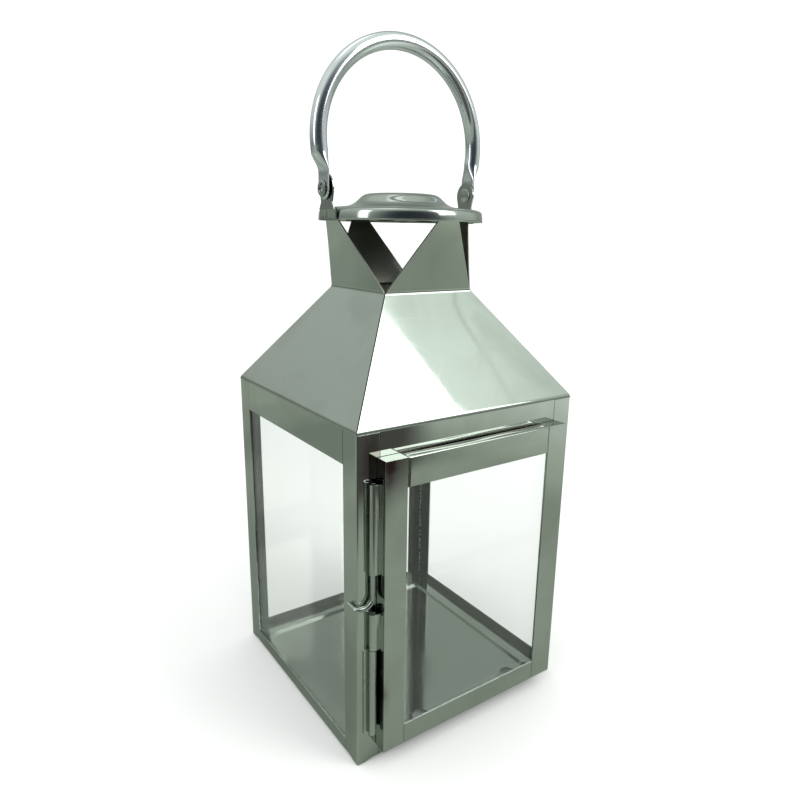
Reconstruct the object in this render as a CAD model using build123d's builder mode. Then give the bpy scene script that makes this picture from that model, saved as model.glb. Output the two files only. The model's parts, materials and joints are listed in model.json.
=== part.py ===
from build123d import *
import os

# Candle lantern: a square sheet-metal body with four corner posts, glass sides, a hinged glazed door,
# a hipped roof rising to an open neck, a round crown cap and a swinging tube handle.
# Millimetres. The origin is the centre of the body on the floor, +Z is up, the door faces -Y.

# Driving dimensions
body_width = 150.0
sheet = 0.8
seam = 0.2
fit_gap = 0.3
running_fit = 0.05
flange = 13.5
eave_z = 191.6
fascia_drop = 19.6
neck_half = 30.4
neck_z = 252.4
crown_z = 291.0
crown_radius = 48.4
crown_top_z = 306.5
rail_bottom_z = 1.0
rail_top_z = 8.6
shelf_z = 3.6
floor_z = 2.0
glass = 2.0
door_half = 63.3
door_bottom_z = 8.7
door_top_z = 177.5
door_front_y = -83.0
door_back_y = -75.4
hinge_x = -67.0
hinge_y = -77.5
wire_radius = 1.4
barrel_radius = 2.1
pivot_z = 307.4
handle_tube_radius = 4.6
handle_bow_radius = 53.5
handle_bow_z = 333.8

# Derived dimensions
half = body_width / 2
inner = half - sheet
post_inner = half - flange
band_half = post_inner - seam
fascia_z = eave_z - fascia_drop

os.makedirs("parts", exist_ok=True)


def save(part, label):
    """Label a finished piece and write its STEP file."""
    part.label = label
    export_step(part, f"parts/{label}.step")


def folded(points, thickness):
    """Closed outline of a folded strip: the given line and the same line set off to its left."""
    line = [Vector(*point) for point in points]
    ways = [(after - before).normalized() for before, after in zip(line, line[1:])]
    sides = [Vector(-way.Y, way.X) for way in ways]
    back = [line[0] + sides[0] * thickness]
    for point, before, after in zip(line[1:-1], sides, sides[1:]):
        middle = (before + after).normalized()
        back.append(point + middle * (thickness / middle.dot(before)))
    back.append(line[-1] + sides[-1] * thickness)
    return [(spot.X, spot.Y) for spot in line + back[::-1]]


# ---------------------------------------------------------------- corner posts
# Folded angles. The flanges stop short of the ground, so each post stands on the tip of its fold.
post_top_z = 190.2
fold_radius = 1.0
foot_lift = 1.2
foot_near = 5.0
foot_far = 9.0
foot_clear = 1.0
corner = (-half, -half)
angle_outline = [
    corner,
    (-post_inner, -half),
    (-post_inner, -inner),
    (-inner, -inner),
    (-inner, -post_inner),
    (-half, -post_inner),
]
foot_outline = [
    (-half + foot_near, 0),
    (-half + foot_far, foot_lift),
    (-post_inner + foot_clear, foot_lift),
    (-post_inner + foot_clear, -foot_clear),
    (-half + foot_near, -foot_clear),
]
with BuildPart() as corner_post:
    with BuildSketch(Plane.XY) as angle:
        with BuildLine():
            Polyline(*angle_outline, close=True)
        make_face()
        fillet(angle.vertices().sort_by_distance(corner)[0], fold_radius)
    extrude(amount=post_top_z)
    for view in (Plane.XZ, Plane.YZ):
        with BuildSketch(view):
            with BuildLine():
                Polyline(*foot_outline, close=True)
            make_face()
        extrude(amount=body_width, both=True, mode=Mode.SUBTRACT)

post_turns = {"front_left": 0, "front_right": 90, "rear_right": 180, "rear_left": 270}
for place, turn in post_turns.items():
    save(corner_post.part.rotate(Axis.Z, turn), f"post_{place}")

# ---------------------------------------------------------------- base
# The floor is one flat plate with two round air holes behind the door.
hole_radius = 5.5
hole_y = -63.5
hole_left_x = -24.5
hole_right_x = 47.5
with BuildPart() as base_floor:
    with BuildSketch(Plane.XY.offset(floor_z - sheet)):
        Rectangle(2 * inner, 2 * inner)
        with Locations((hole_left_x, hole_y), (hole_right_x, hole_y)):
            Circle(hole_radius, mode=Mode.SUBTRACT)
    extrude(amount=sheet)
save(base_floor.part, "base_floor")

# The front rail is a plain upright strip between the posts, the sill under the door.
with BuildPart() as rail_front:
    with BuildSketch(Plane.XY.offset(rail_bottom_z)):
        with Locations((0, -half + sheet / 2)):
            Rectangle(2 * band_half, sheet)
    extrude(amount=rail_top_z - rail_bottom_z)
save(rail_front.part, "rail_front")

# The other rails also carry an inner shelf for the glass, mitred at the corners.
shelf_profile = [
    (-inner, shelf_z),
    (-post_inner, shelf_z),
    (-post_inner, floor_z),
    (-post_inner - sheet, floor_z),
    (-post_inner - sheet, shelf_z - sheet),
    (-inner, shelf_z - sheet),
]
with BuildPart() as rail_glazed:
    with BuildSketch(Plane.YZ):
        with BuildLine():
            Polyline(*shelf_profile, close=True)
        make_face()
    extrude(amount=half, both=True)
    with BuildSketch(Plane.XY):
        with BuildLine():
            Polyline((0, 0), (-half, -half), (half, -half), close=True)
        make_face()
    extrude(amount=shelf_z, mode=Mode.INTERSECT)
    with BuildSketch(Plane.XY.offset(rail_bottom_z)):
        with Locations((0, -half + sheet / 2)):
            Rectangle(2 * band_half, sheet)
    extrude(amount=rail_top_z - rail_bottom_z)

side_turns = {"right": 90, "rear": 180, "left": 270}
for side, turn in side_turns.items():
    save(rail_glazed.part.rotate(Axis.Z, turn), f"rail_{side}")

# ---------------------------------------------------------------- glass sides
# Each pane stands on a rail shelf against the inside of the post flanges, the rail and the fascia.
pane_top_z = 184.0
pane_half = inner - seam
pane_near = inner - glass - fit_gap
pane_spans = {
    "right": (-pane_half, pane_near),
    "rear": (-pane_half, pane_half),
    "left": (-pane_near, pane_half),
}
for side, (low, high) in pane_spans.items():
    with BuildPart() as pane:
        with BuildSketch(Plane.XY.offset(shelf_z)):
            with Locations(((low + high) / 2, -inner + glass / 2)):
                Rectangle(high - low, glass)
        extrude(amount=pane_top_z - shelf_z)
    save(pane.part.rotate(Axis.Z, side_turns[side]), f"glass_{side}")

# ---------------------------------------------------------------- roof
# Each panel is one folded sheet: fascia, slope, and a tapered tab that leans out to the crown.
tab_half = 7.2
tab_reach = 46.7
tab_end_z = 295.2
tab_end_half = 5.0
bend_z = 291.5
panel_line = [
    (-tab_reach, tab_end_z),
    (-tab_reach, bend_z),
    (-neck_half, neck_z),
    (-half, eave_z),
    (-half, fascia_z),
]
panel_front_outline = [
    (-half, fascia_z),
    (half, fascia_z),
    (half, neck_z),
    (neck_half, neck_z),
    (tab_half, bend_z),
    (tab_end_half, tab_end_z),
    (-tab_end_half, tab_end_z),
    (-tab_half, bend_z),
    (-neck_half, neck_z),
    (-half, neck_z),
]
with BuildPart() as roof_panel:
    with BuildSketch(Plane.YZ):
        with BuildLine():
            Polyline(*folded(panel_line, sheet), close=True)
        make_face()
    extrude(amount=half, both=True)
    with BuildSketch(Plane.XZ):
        with BuildLine():
            Polyline(*panel_front_outline, close=True)
        make_face()
    extrude(amount=body_width, both=True, mode=Mode.INTERSECT)
    with BuildSketch(Plane.XY):
        with BuildLine():
            Polyline((0, 0), (-half, -half), (half, -half), close=True)
        make_face()
    extrude(amount=crown_top_z, mode=Mode.INTERSECT)
    with BuildSketch(Plane.XZ):
        for side in (-1, 1):
            with Locations((side * (half + band_half) / 2, (fascia_z + post_top_z) / 2)):
                Rectangle(half - band_half, post_top_z - fascia_z)
    extrude(amount=body_width, both=True, mode=Mode.SUBTRACT)

for side, turn in {"front": 0, **side_turns}.items():
    save(roof_panel.part.rotate(Axis.Z, turn), f"roof_panel_{side}")

# ---------------------------------------------------------------- crown cap
# A pressed disc with a turned-down rim, a sloping shoulder and a raised flat-topped boss.
rim_top_radius = 47.9
rim_top_z = 296.3
shoulder_radius = 44.5
shoulder_z = 298.1
boss_foot_radius = 29.0
boss_foot_z = 299.9
boss_top_radius = 20.5
rim_bend = 1.2
shoulder_bend = 3.0
boss_bend = 8.0
crown_outline = [
    (0, crown_z),
    (crown_radius, crown_z),
    (rim_top_radius, rim_top_z),
    (shoulder_radius, shoulder_z),
    (boss_foot_radius, boss_foot_z),
    (boss_top_radius, crown_top_z),
    (0, crown_top_z),
]
crown_bends = {2: rim_bend, 3: shoulder_bend, 4: boss_bend, 5: boss_bend}
with BuildPart() as crown_cap:
    with BuildSketch(Plane.XZ) as crown_section:
        with BuildLine():
            Polyline(*crown_outline, close=True)
        make_face()
        for spot, bend in crown_bends.items():
            fillet(crown_section.vertices().sort_by_distance(crown_outline[spot])[0], bend)
    revolve(axis=Axis.Z)
    offset(amount=-sheet, openings=crown_cap.faces().sort_by(Axis.Z)[0])
save(crown_cap.part, "crown_cap")

# ---------------------------------------------------------------- handle lugs and rivets
# Each lug is a strip that hugs the crown rim and rises as a round ear outside it.
lug_sheet = 0.8
lug_gap = 0.1
lug_overhang = 0.4
lug_inner_x = crown_radius + lug_gap
lug_outer_x = lug_inner_x + lug_sheet
lug_foot_half = 9.3
lug_foot_top_z = 297.4
ear_radius = 7.8
ear_root_half = 8.5
ear_root_z = 296.4
ear_neck_half = 6.2
ear_neck_z = 300.4
ear_side_half = 7.4
ear_side_z = 305.4
rivet_radius = 3.0
ear_outline = [
    (-ear_root_half, ear_root_z),
    (ear_root_half, ear_root_z),
    (ear_neck_half, ear_neck_z),
    (ear_side_half, ear_side_z),
    (-ear_side_half, ear_side_z),
    (-ear_neck_half, ear_neck_z),
]
with BuildPart() as handle_lug:
    with BuildSketch(Plane.XY.offset(crown_z - lug_overhang)):
        with Locations((lug_outer_x, 0)):
            Rectangle(4 * lug_sheet, 2 * lug_foot_half)
        Circle(lug_outer_x, mode=Mode.INTERSECT)
        Circle(lug_inner_x, mode=Mode.SUBTRACT)
    extrude(amount=lug_foot_top_z - crown_z + lug_overhang)
    with BuildSketch(Plane.YZ.offset(lug_inner_x)):
        with BuildLine():
            Polyline(*ear_outline, close=True)
        make_face()
        with Locations((0, pivot_z)):
            Circle(ear_radius)
            Circle(rivet_radius, mode=Mode.SUBTRACT)
    extrude(amount=lug_sheet)
save(handle_lug.part, "handle_lug_right")
save(handle_lug.part.rotate(Axis.Z, 180), "handle_lug_left")

# The two pivots are tubular rivets: flat head inside, open flanged mouth outside.
eye_x = lug_outer_x + fit_gap
eye_sheet = 2.0
mouth_x = eye_x + eye_sheet + fit_gap
head_radius = 4.4
head_sheet = 0.7
mouth_radius = 2.3
with BuildPart() as handle_rivets:
    for side in (1, -1):
        way = Plane(origin=(0, 0, pivot_z), x_dir=(0, 1, 0), z_dir=(side, 0, 0))
        with BuildSketch(way.offset(lug_inner_x - head_sheet)):
            Circle(head_radius)
        extrude(amount=head_sheet)
        with BuildSketch(way.offset(lug_inner_x)):
            Circle(rivet_radius)
        extrude(amount=mouth_x - lug_inner_x)
        with BuildSketch(way.offset(mouth_x)):
            Circle(head_radius)
        extrude(amount=head_sheet)
        with BuildSketch(way.offset(lug_outer_x)):
            Circle(mouth_radius)
        extrude(amount=mouth_x - lug_outer_x + head_sheet, mode=Mode.SUBTRACT)
save(handle_rivets.part, "handle_rivets")

# ---------------------------------------------------------------- handle
# One bent tube: a round bow whose ends are pressed flat, drop straight and are pierced for the rivets.
tube_wall = 1.0
bow_turn = 8
flat_half = 6.0
flat_top_z = 317.0
leg_x = eye_x + eye_sheet / 2
with BuildPart() as handle:
    with BuildLine(Plane.XZ):
        bow = CenterArc((0, handle_bow_z), handle_bow_radius, -bow_turn, 180 + 2 * bow_turn)
    with BuildSketch(Plane(origin=bow @ 0, z_dir=bow % 0)):
        Circle(handle_tube_radius)
        Circle(handle_tube_radius - tube_wall, mode=Mode.SUBTRACT)
    sweep()
    for side, start, down in ((1, bow @ 0, bow % 0 * -1), (-1, bow @ 1, bow % 1)):
        flat_top = Plane(origin=(side * leg_x, 0, flat_top_z), x_dir=(0, 1, 0), z_dir=(0, 0, -1))
        eye = Plane(origin=(side * eye_x, 0, pivot_z), x_dir=(0, 1, 0), z_dir=(side, 0, 0))
        with BuildSketch(Plane(origin=start, x_dir=(0, 1, 0), z_dir=down)):
            Circle(handle_tube_radius)
        with BuildSketch(flat_top):
            SlotOverall(2 * flat_half, eye_sheet)
        loft()
        with BuildSketch(flat_top):
            SlotOverall(2 * flat_half, eye_sheet)
        extrude(amount=flat_top_z - pivot_z)
        with BuildSketch(eye):
            Circle(flat_half)
        extrude(amount=eye_sheet)
        with BuildSketch(eye):
            Circle(rivet_radius + running_fit)
        extrude(amount=eye_sheet, mode=Mode.SUBTRACT)
save(handle.part, "handle")

# ---------------------------------------------------------------- door frame
# Stiles are channels closed at both ends; rails fit between them as folded strips.
stile_width = 13.5
top_rail_height = 16.0
bottom_rail_height = 12.4
back_lip = 8.0
rail_lip = 6.0
stile_inner = door_half - stile_width
door_depth = door_back_y - door_front_y
stile_line = [
    (-door_half + back_lip, door_back_y),
    (-door_half, door_back_y),
    (-door_half, door_front_y),
    (-stile_inner, door_front_y),
]
with BuildPart() as door_stile:
    with BuildSketch(Plane.XY.offset(door_bottom_z)):
        with BuildLine():
            Polyline(*folded(stile_line, sheet), close=True)
        make_face()
    extrude(amount=door_top_z - door_bottom_z)
    for cap_z in (door_bottom_z, door_top_z - sheet):
        with BuildSketch(Plane.XY.offset(cap_z)):
            with Locations((-door_half + stile_width / 2, (door_front_y + door_back_y) / 2)):
                Rectangle(stile_width, door_depth)
        extrude(amount=sheet)
save(door_stile.part, "door_stile_left")
save(door_stile.part.mirror(Plane.YZ), "door_stile_right")

top_rail_line = [
    (door_front_y, door_top_z - top_rail_height),
    (door_front_y, door_top_z),
    (door_back_y, door_top_z),
    (door_back_y, door_top_z - rail_lip),
]
bottom_rail_line = [
    (door_back_y, door_bottom_z + rail_lip),
    (door_back_y, door_bottom_z),
    (door_front_y, door_bottom_z),
    (door_front_y, door_bottom_z + bottom_rail_height),
]
for place, line in {"top": top_rail_line, "bottom": bottom_rail_line}.items():
    with BuildPart() as door_rail:
        with BuildSketch(Plane.YZ):
            with BuildLine():
                Polyline(*folded(line, -sheet), close=True)
            make_face()
        extrude(amount=stile_inner - seam, both=True)
    save(door_rail.part, f"door_rail_{place}")

# ---------------------------------------------------------------- door glass
# The pane lies against the back of the front flanges, inside the channels.
door_pane_half = 61.5
door_pane_low_z = 10.5
door_pane_high_z = 175.5
with BuildPart() as door_glass:
    with BuildSketch(Plane.XY.offset(door_pane_low_z)):
        with Locations((0, door_front_y + sheet + glass / 2)):
            Rectangle(2 * door_pane_half, glass)
    extrude(amount=door_pane_high_z - door_pane_low_z)
save(door_glass.part, "door_glass")

# ---------------------------------------------------------------- hinge
# Rolled barrels: two are spot welded to the door's edge, the lowest one to the post.
leaf_sheet = 0.6
door_leaf_front_y = -81.8
door_leaf_x = -door_half - leaf_sheet
bore_radius = wire_radius + running_fit
web_y = hinge_y - barrel_radius
web_width = -door_half - hinge_x
door_leaf_depth = web_y + leaf_sheet - door_leaf_front_y
door_barrels = {"door_hinge_upper": (115.8, 165.0), "door_hinge_lower": (72.1, 93.3)}
for name, (low, high) in door_barrels.items():
    with BuildPart() as knuckle:
        with BuildSketch(Plane.XY.offset(low)):
            with Locations((hinge_x, hinge_y)):
                Circle(barrel_radius)
            with Locations(((hinge_x - door_half) / 2, web_y + leaf_sheet / 2)):
                Rectangle(web_width, leaf_sheet)
            with Locations((door_leaf_x + leaf_sheet / 2, door_leaf_front_y + door_leaf_depth / 2)):
                Rectangle(leaf_sheet, door_leaf_depth)
            with Locations((hinge_x, hinge_y)):
                Circle(bore_radius, mode=Mode.SUBTRACT)
        extrude(amount=high - low)
    save(knuckle.part, name)

post_leaf_left_x = -71.4
post_leaf_y = -half - sheet
post_low_z = 19.5
post_high_z = 71.8
with BuildPart() as post_hinge:
    with BuildSketch(Plane.XY.offset(post_low_z)):
        with Locations((hinge_x, hinge_y)):
            Circle(barrel_radius)
        with Locations(((post_leaf_left_x + hinge_x) / 2, -half - sheet / 2)):
            Rectangle(hinge_x - post_leaf_left_x, sheet)
        with Locations((hinge_x, hinge_y)):
            Circle(wire_radius, mode=Mode.SUBTRACT)
    extrude(amount=post_high_z - post_low_z)
save(post_hinge.part, "post_hinge")

# The lower pin is held in the post's barrel and stands up into the door's short barrel.
pin_low_z = 20.0
pin_high_z = 92.0
with BuildPart() as hinge_pin:
    with BuildSketch(Plane.XY.offset(pin_low_z)):
        with Locations((hinge_x, hinge_y)):
            Circle(wire_radius)
    extrude(amount=pin_high_z - pin_low_z)
save(hinge_pin.part, "hinge_pin")

# The upper pin is a hooked wire: it leaves the long barrel, turns round the post and ends on its side.
wire_arm_z = 97.6
wire_top_z = 163.5
wire_side_x = -half - wire_radius
wire_front_y = -76.6
wire_end_y = -68.6
wire_bend = 5.0
wire_corner_bend = 2.4
wire_route = [
    (hinge_x, hinge_y, wire_top_z),
    (hinge_x, hinge_y, wire_arm_z),
    (wire_side_x, wire_front_y, wire_arm_z),
    (wire_side_x, wire_end_y, wire_arm_z),
]
with BuildPart() as hinge_wire:
    with BuildLine():
        route = FilletPolyline(*wire_route, radius=[wire_bend, wire_corner_bend])
    with BuildSketch(Plane(origin=route @ 0, z_dir=route % 0)):
        Circle(wire_radius)
    sweep()
save(hinge_wire.part, "hinge_wire")
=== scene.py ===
import bmesh
import bpy
import json
from math import cos, pi, radians, sin
from mathutils import Matrix, Vector, noise


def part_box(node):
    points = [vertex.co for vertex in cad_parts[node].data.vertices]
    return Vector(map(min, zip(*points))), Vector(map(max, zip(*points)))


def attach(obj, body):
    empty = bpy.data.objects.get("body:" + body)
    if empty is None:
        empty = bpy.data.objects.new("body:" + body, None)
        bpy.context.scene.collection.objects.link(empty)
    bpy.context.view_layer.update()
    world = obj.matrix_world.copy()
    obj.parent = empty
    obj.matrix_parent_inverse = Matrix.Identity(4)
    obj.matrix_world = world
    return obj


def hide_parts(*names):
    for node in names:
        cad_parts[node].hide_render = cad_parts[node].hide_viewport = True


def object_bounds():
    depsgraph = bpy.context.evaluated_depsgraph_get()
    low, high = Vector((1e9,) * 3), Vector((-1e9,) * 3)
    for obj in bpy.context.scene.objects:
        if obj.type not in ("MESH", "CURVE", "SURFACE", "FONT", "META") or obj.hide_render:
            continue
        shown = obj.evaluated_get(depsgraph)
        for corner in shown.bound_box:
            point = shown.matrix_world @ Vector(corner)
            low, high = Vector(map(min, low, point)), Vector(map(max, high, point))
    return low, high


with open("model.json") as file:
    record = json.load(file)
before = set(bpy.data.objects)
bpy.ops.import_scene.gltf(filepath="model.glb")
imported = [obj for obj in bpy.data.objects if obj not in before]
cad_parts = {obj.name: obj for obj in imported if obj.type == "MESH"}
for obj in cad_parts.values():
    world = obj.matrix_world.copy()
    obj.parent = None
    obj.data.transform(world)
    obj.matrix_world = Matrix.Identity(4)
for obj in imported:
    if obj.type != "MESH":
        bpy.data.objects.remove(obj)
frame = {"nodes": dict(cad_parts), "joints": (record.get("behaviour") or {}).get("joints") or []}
cad_low, cad_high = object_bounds()


# ---- Where it stands
# A wide sheet of pale paper in a white room. In reflections the paper carries painted shade: it is
# painted darker and mottled, with a painted dark patch on the front side and one painted pool of
# light.
# The steel also mirrors shaded walls and three soft lamps: right of the door, on the left, overhead.
def add_node(tree, kind, **fields):
    made = tree.nodes.new(kind)
    for field, value in fields.items():
        setattr(made, field, value)
    return made


def own_object(name, bm):
    mesh = bpy.data.meshes.new(name)
    bm.to_mesh(mesh)
    bm.free()
    piece = bpy.data.objects.new(name, mesh)
    bpy.context.scene.collection.objects.link(piece)
    return piece


paper = bmesh.new()
bmesh.ops.create_grid(paper, x_segments=1, y_segments=1, size=12)
bmesh.ops.translate(paper, verts=paper.verts, vec=(0, 0, -0.0004))
floor = own_object("floor", paper)

reflection_painted_paper = bpy.data.materials.new("pale_paper_painted_shade_and_light")
reflection_painted_paper.use_nodes = True
tree = reflection_painted_paper.node_tree
sheen = tree.nodes["Principled BSDF"]
sheen.inputs["Roughness"].default_value = 0.9
sheen.inputs["Specular IOR Level"].default_value = 0.1
# Seen directly the paper is an even pale white. Seen in reflections it is painted darker and mottled,
# with a painted dark patch near (-0.20, -0.95) and a painted pool of light round (0.70, -0.50).
bounce = add_node(tree, "ShaderNodeLightPath")
mirrored = add_node(tree, "ShaderNodeMath", operation="GREATER_THAN")
mirrored.inputs[1].default_value = 0.5
shade = add_node(tree, "ShaderNodeMix", data_type="RGBA")
shade.inputs["A"].default_value = (0.90, 0.91, 0.90, 1)
spot = add_node(tree, "ShaderNodeTexCoord")
drift = add_node(tree, "ShaderNodeTexNoise")
drift.inputs["Scale"].default_value = 3.2
drift.inputs["Detail"].default_value = 1.0
# Painted shade: the darker, randomly mottled tone the paper takes in reflections.
mottled_painted_shade = add_node(tree, "ShaderNodeValToRGB")
mottled_painted_shade.color_ramp.elements[0].position = 0.36
mottled_painted_shade.color_ramp.elements[0].color = (0.39, 0.42, 0.375, 1)
mottled_painted_shade.color_ramp.elements[1].position = 0.60
mottled_painted_shade.color_ramp.elements[1].color = (0.58, 0.61, 0.55, 1)
# Painted shade: a dark patch within about 0.65 m of (-0.20, -0.95), seen only in reflections.
painted_shade_distance = add_node(tree, "ShaderNodeVectorMath", operation="DISTANCE")
painted_shade_distance.inputs[1].default_value = (-0.20, -0.95, 0)
edge_of_dark = add_node(tree, "ShaderNodeMapRange", interpolation_type="SMOOTHSTEP")
edge_of_dark.inputs["From Min"].default_value = 0.62
edge_of_dark.inputs["From Max"].default_value = 0.68
reflected_floor_painted_tone = add_node(tree, "ShaderNodeMix", data_type="RGBA")
reflected_floor_painted_tone.inputs["A"].default_value = (0.10, 0.09, 0.085, 1)
# Painted pool of light: near-white base colour within 0.45 m of (0.70, -0.50), seen only in
# reflections.
lit_patch = add_node(tree, "ShaderNodeVectorMath", operation="DISTANCE")
lit_patch.inputs[1].default_value = (0.70, -0.50, 0)
glow = add_node(tree, "ShaderNodeMapRange", interpolation_type="SMOOTHSTEP")
glow.inputs["From Min"].default_value = 0.45
glow.inputs["From Max"].default_value = 0.0
glowing = add_node(tree, "ShaderNodeMix", data_type="RGBA")
glowing.inputs["B"].default_value = (1.0, 1.0, 0.98, 1)
tree.links.new(spot.outputs["Object"], lit_patch.inputs[0])
tree.links.new(lit_patch.outputs["Value"], glow.inputs["Value"])
tree.links.new(glow.outputs["Result"], glowing.inputs["Factor"])
tree.links.new(spot.outputs["Object"], drift.inputs["Vector"])
tree.links.new(spot.outputs["Object"], painted_shade_distance.inputs[0])
tree.links.new(drift.outputs["Fac"], mottled_painted_shade.inputs["Fac"])
tree.links.new(painted_shade_distance.outputs["Value"], edge_of_dark.inputs["Value"])
tree.links.new(edge_of_dark.outputs["Result"], reflected_floor_painted_tone.inputs["Factor"])
tree.links.new(mottled_painted_shade.outputs["Color"], glowing.inputs["A"])
tree.links.new(glowing.outputs["Result"], reflected_floor_painted_tone.inputs["B"])
tree.links.new(reflected_floor_painted_tone.outputs["Result"], shade.inputs["B"])
tree.links.new(bounce.outputs["Glossy Depth"], mirrored.inputs[0])
tree.links.new(mirrored.outputs[0], shade.inputs["Factor"])
tree.links.new(shade.outputs["Result"], sheen.inputs["Base Color"])
floor.data.materials.append(reflection_painted_paper)

room = bpy.data.worlds.new("white_room")
bpy.context.scene.world = room
room.use_nodes = True
tree = room.node_tree
air = tree.nodes["Background"]
way = add_node(tree, "ShaderNodeTexCoord")
toward_door = add_node(tree, "ShaderNodeVectorMath", operation="DOT_PRODUCT")
toward_door.inputs[1].default_value = (-0.35, -0.93, 0.05)
shadow_side = add_node(tree, "ShaderNodeMapRange", interpolation_type="SMOOTHSTEP")
shadow_side.inputs["From Min"].default_value = 0.45
shadow_side.inputs["From Max"].default_value = 0.97
height = add_node(tree, "ShaderNodeSeparateXYZ")
wall_tone = add_node(tree, "ShaderNodeValToRGB")
wall_tone.color_ramp.elements[0].position = 0.0
wall_tone.color_ramp.elements[0].color = (0.20, 0.22, 0.205, 1)
wall_tone.color_ramp.elements[1].position = 0.85
wall_tone.color_ramp.elements[1].color = (0.86, 0.93, 0.88, 1)
middle_wall = wall_tone.color_ramp.elements.new(0.30)
middle_wall.color = (0.60, 0.65, 0.61, 1)
upper_wall = wall_tone.color_ramp.elements.new(0.46)
upper_wall.color = (0.66, 0.72, 0.67, 1)
toward_ceiling = add_node(tree, "ShaderNodeVectorMath", operation="DOT_PRODUCT")
toward_ceiling.inputs[1].default_value = (0.77, -0.22, 0.60)
lit_side = add_node(tree, "ShaderNodeMapRange", interpolation_type="SMOOTHSTEP")
lit_side.inputs["From Min"].default_value = 0.62
lit_side.inputs["From Max"].default_value = 0.98
lit_walls = add_node(tree, "ShaderNodeMix", data_type="RGBA")
lit_walls.inputs["B"].default_value = (0.78, 0.85, 0.80, 1)
toward_lamp = add_node(tree, "ShaderNodeVectorMath", operation="DOT_PRODUCT")
toward_lamp.inputs[1].default_value = (0.550, -0.498, 0.670)
halo = add_node(tree, "ShaderNodeMapRange", interpolation_type="SMOOTHSTEP")
halo.inputs["From Min"].default_value = 0.955
halo.inputs["From Max"].default_value = 1.0
haloed = add_node(tree, "ShaderNodeMix", data_type="RGBA")
haloed.inputs["B"].default_value = (1.50, 1.64, 1.55, 1)
seams = add_node(tree, "ShaderNodeTexVoronoi", feature="DISTANCE_TO_EDGE")
seams.inputs["Scale"].default_value = 2.6
seam_line = add_node(tree, "ShaderNodeMapRange", interpolation_type="SMOOTHSTEP")
seam_line.inputs["From Min"].default_value = 0.009
seam_line.inputs["From Max"].default_value = 0.003
seam_line.inputs["To Max"].default_value = 0.30
seamed = add_node(tree, "ShaderNodeMix", data_type="RGBA")
seamed.inputs["B"].default_value = (0.10, 0.10, 0.10, 1)
toward_back = add_node(tree, "ShaderNodeVectorMath", operation="DOT_PRODUCT")
toward_back.inputs[1].default_value = (0.66, 0.66, 0.36)
back_side = add_node(tree, "ShaderNodeMapRange", interpolation_type="SMOOTHSTEP")
back_side.inputs["From Min"].default_value = 0.60
back_side.inputs["From Max"].default_value = 0.95
back_walls = add_node(tree, "ShaderNodeMix", data_type="RGBA")
back_walls.inputs["B"].default_value = (0.38, 0.42, 0.385, 1)
walls = add_node(tree, "ShaderNodeMix", data_type="RGBA")
walls.inputs["B"].default_value = (0.035, 0.045, 0.06, 1)
bounce = add_node(tree, "ShaderNodeLightPath")
mirrored = add_node(tree, "ShaderNodeMath", operation="GREATER_THAN")
mirrored.inputs[1].default_value = 0.5
seen = add_node(tree, "ShaderNodeMix", data_type="RGBA")
seen.inputs["A"].default_value = (1.15, 1.15, 1.15, 1)
tree.links.new(way.outputs["Generated"], toward_door.inputs[0])
tree.links.new(way.outputs["Generated"], height.inputs[0])
tree.links.new(height.outputs["Z"], wall_tone.inputs["Fac"])
tree.links.new(way.outputs["Generated"], toward_ceiling.inputs[0])
tree.links.new(toward_ceiling.outputs["Value"], lit_side.inputs["Value"])
tree.links.new(lit_side.outputs["Result"], lit_walls.inputs["Factor"])
tree.links.new(wall_tone.outputs["Color"], lit_walls.inputs["A"])
tree.links.new(way.outputs["Generated"], toward_lamp.inputs[0])
tree.links.new(toward_lamp.outputs["Value"], halo.inputs["Value"])
tree.links.new(halo.outputs["Result"], haloed.inputs["Factor"])
tree.links.new(lit_walls.outputs["Result"], haloed.inputs["A"])
tree.links.new(haloed.outputs["Result"], back_walls.inputs["A"])
tree.links.new(way.outputs["Generated"], toward_back.inputs[0])
tree.links.new(toward_back.outputs["Value"], back_side.inputs["Value"])
tree.links.new(back_side.outputs["Result"], back_walls.inputs["Factor"])
tree.links.new(way.outputs["Generated"], seams.inputs["Vector"])
tree.links.new(seams.outputs["Distance"], seam_line.inputs["Value"])
tree.links.new(seam_line.outputs["Result"], seamed.inputs["Factor"])
tree.links.new(back_walls.outputs["Result"], seamed.inputs["A"])
tree.links.new(seamed.outputs["Result"], walls.inputs["A"])
tree.links.new(toward_door.outputs["Value"], shadow_side.inputs["Value"])
tree.links.new(shadow_side.outputs["Result"], walls.inputs["Factor"])
tree.links.new(walls.outputs["Result"], seen.inputs["B"])
tree.links.new(bounce.outputs["Glossy Depth"], mirrored.inputs[0])
tree.links.new(mirrored.outputs[0], seen.inputs["Factor"])
tree.links.new(seen.outputs["Result"], air.inputs["Color"])


def soft_lamp(name, spot, target, width, height, power, tint):
    lamp = bpy.data.lights.new(name, "AREA")
    lamp.shape = "RECTANGLE"
    lamp.size = width
    lamp.size_y = height
    lamp.energy = power
    lamp.color = tint
    holder = bpy.data.objects.new(name, lamp)
    bpy.context.scene.collection.objects.link(holder)
    aim = (Vector(target) - Vector(spot)).to_track_quat("-Z", "Y")
    holder.matrix_world = Matrix.Translation(spot) @ aim.to_matrix().to_4x4()


soft_lamp("lamp_right", (0.735, -1.118, 1.13), (0, 0, 0.2), 0.76, 1.12, 8.4, (1.0, 1.0, 0.98))
soft_lamp("lamp_left", (-1.30, -0.10, 0.75), (0, 0, 0.2), 0.35, 0.9, 2.4, (0.96, 1.0, 1.0))
soft_lamp("lamp_top", (-0.1, 0.2, 1.5), (0, 0, 0.3), 0.7, 0.4, 0.6, (1.0, 1.0, 1.0))

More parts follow.
